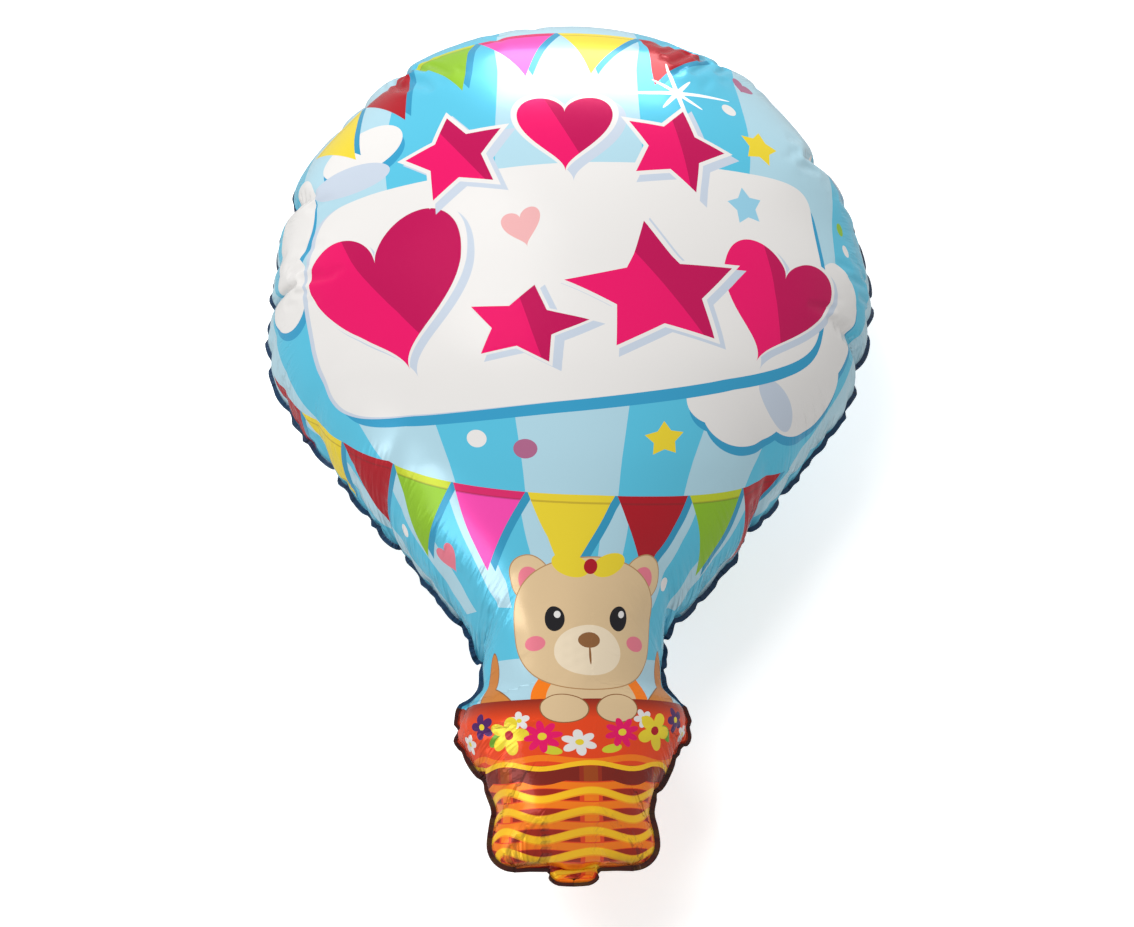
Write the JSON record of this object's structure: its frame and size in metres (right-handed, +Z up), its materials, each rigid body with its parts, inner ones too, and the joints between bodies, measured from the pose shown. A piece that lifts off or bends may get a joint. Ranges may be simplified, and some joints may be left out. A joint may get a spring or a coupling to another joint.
{
  "type": "hot air balloon foil balloon",
  "caption": "Inflated figure foil balloon shaped like a hot air balloon: round envelope, narrow neck and basket, with a welded edge and a flat filling tail.",
  "frame": {"origin": "on the ground, under the middle of the balloon as it lies on its back", "axes": "+Y along the balloon from the filling tail to the crown, +Z up out of the printed front, +X to the right of the print"},
  "size_m": [0.4924, 0.7028, 0.2789],
  "materials": {
    "printed_front_foil": "glossy metallised film, printed in colours",
    "printed_back_foil": "glossy metallised film, printed in plainer colours"
  },
  "bodies": {
    "root": {"front_foil": "printed_front_foil", "back_foil": "printed_back_foil"}
  },
  "joints": []
}
